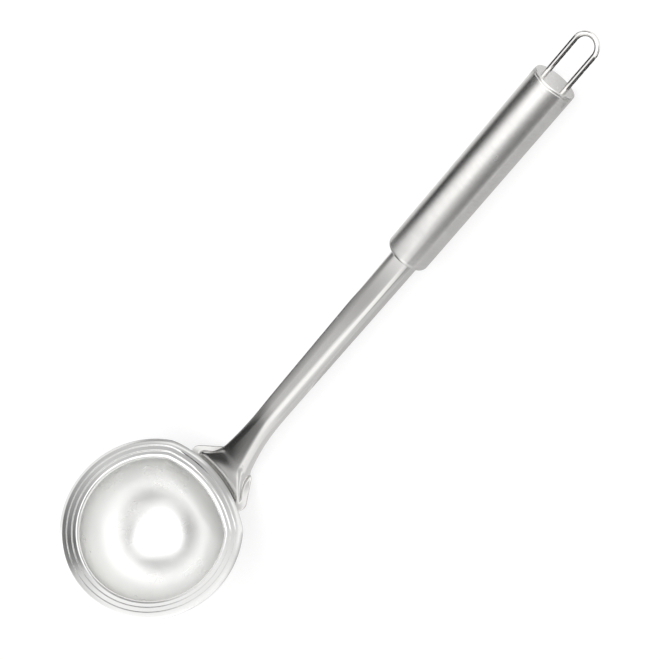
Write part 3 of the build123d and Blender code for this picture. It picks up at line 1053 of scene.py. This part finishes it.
@dataclass
class Handle:
    """The hollow handle, its cap, the wire loop and their seams."""

    sizes: Sizes
    tube_wall: float = 0.8
    slot_reach: float = 4.0
    nose_radius: float = 2.5
    nose_steps: int = 14
    nose_shares: tuple[float, ...] = (0.6, 0.8, 0.95)
    seam_run: float = 0.5
    seam_inset: float = 0.3
    seam_depth: float = 1.0
    seam_rounding: float = 0.15
    seam_steps: int = 4
    cap_step_in: float = 0.1
    cap_rounding: float = 0.4
    cap_face_inset: float = 1.6
    cap_shares: tuple[float, ...] = (0.7, 0.45, 0.2)
    spigot_inset: float = 1.0
    spigot_length: float = 3.0
    wire_radius: float = 1.15
    wire_sides: int = 28
    loop_half_spacing: float = 5.45
    leg_depth: float = 2.5
    leg_steps: int = 9
    bend_steps: int = 32
    count: int = 160

    def turned(self, maker: MeshMaker, name: str, path: Sequence[Point]) -> bpy.types.Object:
        """Makes a piece turned about the handle's axis.

        Args:
            maker: makes the mesh.
            name: the piece's name.
            path: distance along the axis and radius of each ring, from one end to the other.

        Returns:
            The piece.
        """
        points = []
        for distance, radius in path:
            for spot in range(self.count):
                turn = 2 * math.pi * spot / self.count
                up, across = radius * math.cos(turn), radius * math.sin(turn)
                points.append(self.sizes.along_handle(distance, up, across))
        last = (len(path) - 1) * self.count
        faces = [face[::-1] for face in ring_faces(len(path), self.count, closed=False)]
        faces.append(tuple(range(self.count)))
        faces.append(tuple(range(last, last + self.count))[::-1])
        return maker.add(name, np.array(points), faces)

    def build_tube(self, maker: MeshMaker) -> bpy.types.Object:
        """Builds the tube with its rounded nose.

        Args:
            maker: makes the mesh.

        Returns:
            The tube.
        """
        radius, length, bevel = self.sizes.tube_radius, self.sizes.tube_length, self.sizes.seam_bevel
        nose = rounded_path(
            [
                (0.0, self.slot_reach, 0.0),
                (0.0, radius, self.nose_radius),
                (length - self.seam_inset, radius, 0.0),
            ],
            self.nose_steps,
        )
        flat = [(0.0, share * (radius - self.nose_radius)) for share in self.nose_shares]
        end = rounded_path(
            [
                (length - self.seam_run, radius, 0.0),
                (length - bevel, radius, self.seam_rounding),
                (length, radius - bevel, 0.0),
            ],
            self.seam_steps,
        )
        inside = [(length - depth, radius - self.tube_wall) for depth in (0.0, self.seam_depth)]
        return self.turned(maker, "satin_tube", flat + nose[1:-1] + [(length / 2, radius)] + end + inside)

    def build_cap(self, maker: MeshMaker) -> bpy.types.Object:
        """Builds the end cap.

        Args:
            maker: makes the mesh.

        Returns:
            The cap.
        """
        s = self.sizes
        outer = s.tube_radius - self.cap_step_in
        start, end = s.tube_length, s.tube_length + s.cap_thickness
        path = rounded_path(
            [
                (start - self.spigot_length, outer - self.spigot_inset, 0.0),
                (start, outer - self.spigot_inset, 0.0),
                (start, outer - s.seam_bevel, 0.0),
                (start + s.seam_bevel, outer, self.seam_rounding),
                (end, outer, self.cap_rounding),
                (end, outer - self.cap_face_inset, 0.0),
            ]
        )
        return self.turned(maker, "turned_cap", path + [(end, outer * share) for share in self.cap_shares])

    def build_loop(self, maker: MeshMaker) -> bpy.types.Object:
        """Builds the bent wire.

        Args:
            maker: makes the mesh.

        Returns:
            The loop.
        """
        s = self.sizes
        foot = s.tube_length - self.leg_depth
        bend = s.tube_length + s.cap_thickness + s.loop_height - self.wire_radius - self.loop_half_spacing
        legs = [foot + (bend - foot) * step / self.leg_steps for step in range(self.leg_steps)]
        centre_line = [(distance, self.loop_half_spacing, 0.0) for distance in legs]
        for step in range(self.bend_steps + 1):
            turn = math.pi * step / self.bend_steps
            along, across = self.loop_half_spacing * math.sin(turn), self.loop_half_spacing * math.cos(turn)
            centre_line.append((bend + along, across, turn))
        centre_line += [(distance, -self.loop_half_spacing, math.pi) for distance in reversed(legs)]
        points = []
        for distance, across, turn in centre_line:
            for side in range(self.wire_sides):
                angle = 2 * math.pi * side / self.wire_sides
                out, up = self.wire_radius * math.cos(angle), self.wire_radius * math.sin(angle)
                along, aside = distance + out * math.sin(turn), across + out * math.cos(turn)
                points.append(s.along_handle(along, up, aside))
        last = (len(centre_line) - 1) * self.wire_sides
        faces = list(ring_faces(len(centre_line), self.wire_sides, closed=False))
        faces.append(tuple(range(self.wire_sides))[::-1])
        faces.append(tuple(range(last, last + self.wire_sides)))
        return maker.add("wire_loop", np.array(points), faces)


# ---- the studio


def flat_sheet(name: str, size: Point, material: bpy.types.Material) -> bpy.types.Object:
    """Makes a flat rectangle of the studio.

    Args:
        name: its name.
        size: its width and height in metres.
        material: what it is made of.

    Returns:
        The sheet, level and with its middle at the origin.
    """
    wide, tall = size[0] / 2, size[1] / 2
    corners = [(-wide, -tall, 0), (wide, -tall, 0), (wide, tall, 0), (-wide, tall, 0)]
    mesh = bpy.data.meshes.new(name)
    mesh.from_pydata(corners, [], [(0, 1, 2, 3)])
    mesh.materials.append(material)
    sheet = bpy.data.objects.new(name, mesh)
    bpy.context.scene.collection.objects.link(sheet)
    sheet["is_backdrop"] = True
    return sheet


def greys(*stops: tuple[float, str]) -> Tones:
    """Returns greys, each given by its share of the way and the hex digits of its sRGB parts."""
    return tuple((share, f"#{digits * 3}") for share, digits in stops)


def tone_ramp(tree: Tree, share: Socket, tones: Tones) -> Socket:
    """Adds a run of tones.

    Args:
        tree: the paint's node tree.
        share: the socket with the share of the way, from 0 to 1.
        tones: the tones, each with its share.

    Returns:
        The socket of the colour.
    """
    ramp = add_node(tree, "ValToRGB", {}, {0: share})
    stops = ramp.color_ramp.elements
    stops.remove(stops[1])
    while len(stops) < len(tones):
        stops.new(1.0)
    for stop, (position, shade) in zip(stops, tones):
        stop.position = position
        stop.color = linear_colour(shade)
    return ramp.outputs[0]


@dataclass(frozen=True, kw_only=True)
class Panel:
    """A flat panel that only polished metal sees. Places and sizes are in metres.

    Steel shows little but what stands round it, so the panels are what shades the ladle.
    """

    name: str
    middle: Place
    faces: Place
    size: Point
    strength: float = 1.0

    def build(self) -> bpy.types.Object:
        """Builds the panel.

        Returns:
            The panel, marked as part of the studio.
        """
        front = Vector(self.faces).normalized()
        up = Vector((0.0, 1.0, 0.0)) if abs(front.z) > 0.999 else Vector((0.0, 0.0, 1.0))
        side = up.cross(front).normalized()
        panel = flat_sheet(self.name, self.size, self._material())
        panel.matrix_world = Matrix((side, front.cross(side), front)).transposed().to_4x4()
        panel.location = self.middle
        panel.visible_camera = panel.visible_shadow = panel.visible_diffuse = False
        return panel

    def _material(self) -> bpy.types.Material:
        """Makes the panel's paint.

        Returns:
            The paint, clear where the panel has faded out.
        """
        material, tree = new_material(self.name + "_paint")
        place = add_node(tree, "TexCoord").outputs["Object"]
        shade, solid = self._look(tree, place)
        clear = add_node(tree, "BsdfTransparent").outputs[0]
        glow = add_node(tree, "Emission", {":Strength": self.strength}, {0: shade}).outputs[0]
        mixed = add_node(tree, "MixShader", {}, {0: solid, 1: clear, 2: glow}).outputs[0]
        add_node(tree, "OutputMaterial", {}, {"Surface": mixed})
        return material

    def _look(self, tree: Tree, place: Socket) -> tuple[Socket, Socket]:
        """Adds the panel's pattern.

        Args:
            tree: the paint's node tree.
            place: the socket with the place on the panel.

        Returns:
            The sockets of its colour and of how solid it is.
        """
        raise NotImplementedError


@dataclass(frozen=True, kw_only=True)
class Card(Panel):
    """A soft-edged card: a white reflector, or a grey or black flag.

    Its tones run up the card, each with a share of its height.
    """

    tones: Tones
    softness: float = 0.2

    def _look(self, tree: Tree, place: Socket) -> tuple[Socket, Socket]:
        """Adds the tones, which fade out towards all four edges.

        Args:
            tree: the paint's node tree.
            place: the socket with the place on the card.

        Returns:
            The sockets of the colour and of how solid the card is.
        """
        split = add_node(tree, "SeparateXYZ", {}, {0: place}).outputs
        share = calculate(tree, "MULTIPLY_ADD", split[1], 1 / self.size[1], 0.5)
        fades = []
        for axis in (0, 1):
            half = self.size[axis] / 2
            out = calculate(tree, "ABSOLUTE", split[axis])
            fades.append(ease(tree, out, half, half * (1 - 2 * self.softness)))
        return tone_ramp(tree, share, self.tones), calculate(tree, "MULTIPLY", *fades)


@dataclass(frozen=True)
class Ring:
    """A ring of a screen, which takes over from what is inside it between the distances start and end."""

    start: float
    end: float
    tones: Tones


@dataclass(frozen=True, kw_only=True)
class RingScreen(Panel):
    """A one-sided screen with rings, each with tones of its own round the screen's middle.

    The share of a tone runs once round the screen, seen from the front: from 0 at the left, down (0.25),
    right (0.5) and up (0.75). The screen fades in at its hole and out at its rim.
    """

    rings: tuple[Ring, ...]
    hole: Point = (-0.002, -0.001)
    rim: Point

    def _look(self, tree: Tree, place: Socket) -> tuple[Socket, Socket]:
        """Adds the rings, each eased into the next.

        Args:
            tree: the paint's node tree.
            place: the socket with the place on the screen.

        Returns:
            The sockets of the colour and of how solid the screen is.
        """
        reach = add_node(tree, "VectorMath", {"operation": "LENGTH"}, {0: place}).outputs["Value"]
        turn = add_node(tree, "TexGradient", {"gradient_type": "RADIAL"}, {0: place}).outputs["Fac"]
        shade = tone_ramp(tree, turn, self.rings[0].tones)
        for ring in self.rings[1:]:
            tone = tone_ramp(tree, turn, ring.tones)
            links = {0: ease(tree, reach, ring.start, ring.end), 6: shade, 7: tone}
            shade = add_node(tree, "Mix", {"data_type": "RGBA"}, links).outputs[2]
        behind = add_node(tree, "NewGeometry").outputs["Backfacing"]
        inside, outside = ease(tree, reach, *self.hole), ease(tree, reach, self.rim[1], self.rim[0])
        whole = calculate(tree, "MULTIPLY", inside, outside)
        return shade, calculate(tree, "MULTIPLY", whole, calculate(tree, "SUBTRACT", 1.0, behind))


def floor_card(name: str, middle: Point, size: Point, tones: Tones, softness: float = 0.05) -> Card:
    """Returns a card that lies just over the floor; its tones run towards the far side."""
    spot = (*middle, FLOOR_LIFT)
    return Card(name=name, middle=spot, faces=(0.0, 0.0, 1.0), size=size, tones=tones, softness=softness)


WHITE, BLACK = greys((0.0, "FF")), greys((0.0, "20"))
FLOOR_LIFT = 0.0005

# The camera looks down the ladle slantwise, so each part of the stem and handle mirrors one ring of the
# end screen: the saddle its middle, the loop its outermost ring.
SADDLE_RINGS = (
    Ring(0.0, 0.0, greys((0.0, "B2"))),
    Ring(0.008, 0.012, greys(
        (0.0, "E0"), (0.3, "B2"), (0.545, "A8"), (0.57, "2A"), (0.67, "2A"), (0.72, "9C"), (0.77, "F0"),
    )),
    Ring(0.016, 0.021, greys(
        (0.0, "E0"), (0.3, "40"), (0.5, "2A"), (0.67, "2A"), (0.72, "9C"), (0.77, "F0"), (1.0, "E8"),
    )),
)
STEM_RINGS = (
    # A grey flag low on the right, and one wide reflector overhead with soft sides.
    Ring(0.045, 0.1, greys(
        (0.0, "D0"), (0.15, "F0"), (0.4, "60"), (0.51, "90"), (0.64, "A4"), (0.69, "B0"), (0.74, "E8"),
        (0.78, "FF"), (0.84, "FF"), (0.89, "D8"), (0.95, "C4"),
    )),
    # Near the stem's mouth the reflector has crisp sides, with a narrow flag beside it.
    Ring(0.21, 0.26, greys(
        (0.0, "C8"), (0.4, "60"), (0.51, "8C"), (0.64, "9C"), (0.75, "A0"), (0.77, "B0"), (0.79, "FF"),
        (0.875, "FF"), (0.89, "90"), (0.905, "90"), (0.92, "D0"), (0.95, "C4"),
    )),
)
HANDLE_RINGS = (
    # A black flag on the right, a reflector overhead, and a grey flag on the left. The second ring serves
    # the handle's far end, where both flags are darker.
    Ring(0.315, 0.345, greys(
        (0.0, "B4"), (0.44, "C8"), (0.47, "80"), (0.5, "20"), (0.55, "20"), (0.59, "78"), (0.65, "E4"),
        (0.71, "FF"), (0.77, "FF"), (0.83, "B8"), (0.9, "84"), (0.95, "68"), (1.0, "B4"),
    )),
    Ring(0.54, 0.7, greys(
        (0.0, "B0"), (0.44, "C0"), (0.47, "60"), (0.49, "16"), (0.56, "16"), (0.6, "68"), (0.65, "D0"),
        (0.71, "FF"), (0.76, "FF"), (0.82, "94"), (0.9, "58"), (0.95, "50"), (1.0, "B0"),
    )),
)
LOOP_RINGS = (Ring(0.79, 0.83, greys((0.0, "10"), (0.63, "10"), (0.69, "FF"), (0.79, "FF"), (0.85, "10"))),)

# What the lip's flats mirror, and outside them the lip's edge, the seat and the saddle's wings: white on
# the near side, grey towards the handle, and a dark flag on the far side, away from the handle.
LIP_RINGS = (
    Ring(0.0, 0.0, greys(
        (0.0, "C4"), (0.17, "B0"), (0.28, "B0"), (0.44, "E8"), (0.7, "F0"), (0.76, "C8"), (0.79, "80"),
        (0.83, "5C"), (0.94, "A4"), (1.0, "C4"),
    )),
    Ring(0.042, 0.0455, greys(
        (0.0, "B8"), (0.1, "D0"), (0.14, "F4"), (0.2, "F4"), (0.22, "B8"), (0.28, "B0"), (0.3, "F0"),
        (0.38, "F0"), (0.41, "DC"), (0.45, "F4"), (0.66, "F8"), (0.76, "C0"), (0.79, "80"), (0.87, "68"),
        (0.94, "A0"), (1.0, "B8"),
    )),
)
FAR_END_RINGS = (
    Ring(0.0, 0.0, greys(
        (0.0, "90"), (0.5, "90"), (0.53, "68"), (0.58, "78"), (0.62, "FF"), (0.85, "FF"), (0.9, "78"),
        (0.96, "68"), (1.0, "90"),
    )),
)

PANELS: tuple[Panel, ...] = (
    # White reflectors, brighter than the paper floor, give the steel its highlights.
    Card(
        name="overhead_reflector", middle=(0.0, 0.0, 1.7), faces=(0.0, 0.0, -1.0), size=(5.0, 3.6),
        tones=WHITE, strength=2.0,
    ),
    Card(
        name="right_reflector", middle=(1.6, 0.0, 0.7), faces=(-1.0, 0.0, -0.3), size=(4.0, 2.4),
        tones=WHITE, strength=1.3,
    ),
    # A screen square to the handle's axis, close beside the bowl, facing the handle.
    RingScreen(
        name="end_screen", middle=(-0.11, 0.0, 0.0105), faces=(1.0, 0.0, 0.0), size=(2.9, 2.9),
        rim=(1.3, 1.4), strength=1.2, rings=SADDLE_RINGS + STEM_RINGS + HANDLE_RINGS + LOOP_RINGS,
    ),
    # A screen beyond the loop gives the views from the bowl's side their tones.
    RingScreen(
        name="loop_end_screen", middle=(0.35, 0.0, 0.0105), faces=(-1.0, 0.0, 0.0), size=(2.1, 2.1),
        hole=(0.12, 0.2), rim=(0.6, 1.0), strength=1.7, rings=FAR_END_RINGS,
    ),
    # Small black slats under the loop, seen only from the loop's end, draw the dark edges of its wire.
    *(
        RingScreen(
            name=f"loop_slat_{number}", middle=(0.149 + 0.0035 * number, 0.0, 0.0046), faces=(1.0, 0.0, 0.0),
            size=(0.06, 0.009), rim=(0.028, 0.03), rings=(Ring(0.0, 0.0, BLACK),),
        )
        for number in range(6)
    ),
    # A ring held just over the lip tones the lip's flats all round.
    RingScreen(
        name="lip_screen", middle=(-0.128, 0.0027, 0.046), faces=(-0.662, 0.0, -0.749), size=(0.14, 0.14),
        hole=(0.028, 0.034), rim=(0.05, 0.058), strength=1.2, rings=LIP_RINGS,
    ),
    # Strips on the floor tone what the undersides mirror.
    floor_card("handle_near_strip", (0.04, -0.12), (0.24, 0.26), greys((0.0, "C6"))),
    floor_card(
        "handle_far_strip", (0.02, 0.32), (0.28, 0.6),
        greys((0.0, "E8"), (0.08, "C8"), (0.2, "9C"), (1.0, "60")), softness=0.03,
    ),
    floor_card("stem_near_strip", (-0.12, -0.12), (0.16, 0.25), greys((0.0, "DA"))),
    floor_card("stem_far_strip", (-0.08, 0.1), (0.18, 0.2), greys((0.0, "4C"), (0.3, "6A"), (0.6, "84"))),
    floor_card("cap_strip", (0.153, 0.004), (0.024, 0.024), greys((0.0, "E2")), softness=0.1),
    floor_card("loop_near_strip", (0.158, -0.034), (0.044, 0.042), BLACK, softness=0.1),
    floor_card("loop_far_strip", (0.158, 0.07), (0.044, 0.1), BLACK),
)


def seen_directly(tree: Tree) -> Socket:
    """Tells rays that look at the studio from rays that light it.

    Args:
        tree: the node tree.

    Returns:
        A socket that is 1 for the camera's rays and for mirrored and transmitted rays.
    """
    path = add_node(tree, "LightPath").outputs
    either = calculate(tree, "MAXIMUM", path["Is Camera Ray"], path["Is Glossy Ray"])
    return calculate(tree, "MAXIMUM", either, path["Is Transmission Ray"])


@dataclass(frozen=True)
class PhotoCamera:
    """The camera, at the place from which the ladle fills the picture as in the photograph.

    The turn is the bowl frame's rotation in the picture, in radians about its own axis, and the offset
    is where the bowl's middle lies, in pixels from the picture's middle.
    """

    picture_pixels: float = 660.0
    focal_pixels: float = 1700.0
    pixels_per_mm: float = 2.13215535
    turn: Place = (-0.348837827, 0.0676979941, 0.660799459)
    offset: Place = (-179.06966, -197.077508, 0.0)
    sensor_width: float = 36.0
    clip: Point = (0.01, 50.0)

    def build(self, placement: Placement) -> None:
        """Makes the camera and sets it as the scene's.

        Args:
            placement: turns the bowl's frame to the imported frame.
        """
        angle = float(np.linalg.norm(self.turn))
        turn = np.array(Matrix.Rotation(angle, 3, Vector(np.array(self.turn) / angle)))
        away = np.array([0.0, 0.0, self.focal_pixels]) - np.array(self.offset)
        data = bpy.data.cameras.new("photo_camera")
        data.sensor_width = self.sensor_width
        data.lens = self.focal_pixels / self.picture_pixels * self.sensor_width
        data.clip_start, data.clip_end = self.clip
        camera = bpy.data.objects.new("photo_camera", data)
        matrix = Matrix(placement.turned(turn).T.tolist()).to_4x4()
        matrix.translation = Vector(placement.place((turn.T @ away / self.pixels_per_mm)[None])[0])
        camera.matrix_world = matrix
        bpy.context.scene.collection.objects.link(camera)
        bpy.context.scene.camera = camera


@dataclass(frozen=True)
class Studio:
    """The white floor, the lamp and the panels that the metal mirrors."""

    fill: float = 0.75
    floor_width: float = 8.0
    floor_glow: float = 0.74
    paper: str = "#9A9A9A"
    lit_paper: str = "#E7E7E7"
    lamp_size: float = 1.6
    lamp_height: float = 1.4
    lamp_power: float = 8.0

    def build(self) -> None:
        """Builds all of it."""
        bpy.context.scene.view_settings.view_transform = "Standard"
        self._build_world()
        flat_sheet("studio_floor", (self.floor_width, self.floor_width), self._floor_material())
        self._build_lamp()
        for panel in PANELS:
            panel.build()

    def _build_world(self) -> None:
        """Makes the white surroundings, a little dimmer as a light than to look at."""
        world = bpy.data.worlds.new("studio")
        bpy.context.scene.world = world
        world.use_nodes = True
        tree = world.node_tree
        tree.nodes.clear()
        span = {":To Min": self.fill, ":To Max": 1.0}
        level = add_node(tree, "MapRange", span, {"Value": seen_directly(tree)}).outputs[0]
        light = add_node(tree, "Background", {":Color": (1.0, 1.0, 1.0, 1.0)}, {"Strength": level}).outputs[0]
        add_node(tree, "OutputWorld", {}, {"Surface": light})

    def _floor_material(self) -> bpy.types.Material:
        """Makes the floor's paper.

        Returns:
            White paper, which keeps the ladle's soft shadow and is plain to all other light.
        """
        material, tree = new_material("white_paper")
        paper = add_node(tree, "BsdfDiffuse", {":Color": linear_colour(self.paper)}).outputs[0]
        glow = add_node(tree, "Emission", {":Strength": self.floor_glow}).outputs[0]
        both = add_node(tree, "AddShader", {}, {0: paper, 1: glow}).outputs[0]
        plain = add_node(tree, "BsdfDiffuse", {":Color": linear_colour(self.lit_paper)}).outputs[0]
        mixed = add_node(tree, "MixShader", {}, {0: seen_directly(tree), 1: plain, 2: both}).outputs[0]
        add_node(tree, "OutputMaterial", {}, {"Surface": mixed})
        return material

    def _build_lamp(self) -> None:
        """Makes the soft lamp overhead, which draws the shadow on the floor."""
        data = bpy.data.lights.new("overhead_lamp", "AREA")
        data.shape = "SQUARE"
        data.size = self.lamp_size
        data.energy = self.lamp_power
        lamp = bpy.data.objects.new("overhead_lamp", data)
        lamp.location = (0.0, 0.0, self.lamp_height)
        lamp.visible_glossy = False
        bpy.context.scene.collection.objects.link(lamp)


def dress(piece: bpy.types.Object, material: bpy.types.Material, node: str) -> None:
    """Puts a piece on the frame.

    Args:
        piece: the piece.
        material: its finish.
        node: the CAD node that it stands for.
    """
    piece.data.materials.clear()
    piece.data.materials.append(material)
    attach(piece, "root")
    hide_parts(node)
    log.info("piece %s, %d faces, for %s", piece.name, len(piece.data.polygons), node)


def main() -> None:
    """Builds the ladle's looks, the studio and the camera."""
    logging.basicConfig(level=logging.INFO, format="%(name)s: %(message)s")
    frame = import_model()
    cad_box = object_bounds()
    sizes = Sizes()
    placement = Placement(sizes, cad_box[1][0])
    maker = MeshMaker(placement)
    handle = Handle(sizes)
    for build, finish, slot, node in (
        (Bowl(sizes).build, BUFFED_BOWL, "bowl_steel", "bowl"),
        (Stem(sizes).build, BRIGHT_STEM, "stem_steel", "stem"),
        (handle.build_tube, SATIN_TUBE, "handle_steel", "handle_tube"),
        (handle.build_cap, TURNED_CAP, "cap_steel", "end_cap"),
        (handle.build_loop, DRAWN_WIRE, "wire_steel", "hanging_loop"),
    ):
        dress(build(maker), finish.build(placement, sizes), node)
    bead = WELD_BEAD.build(placement, sizes)
    for node in ("mouth_weld", "loop_welds", "saddle_welds"):
        mesh = frame["nodes"][node].data
        mesh.materials.clear()
        mesh.materials.append(bead)
        log.info("CAD node %s keeps its mesh, with %s", node, bead.name)
    Studio().build()
    PhotoCamera().build(placement)


if __name__ == "__main__":
    main()
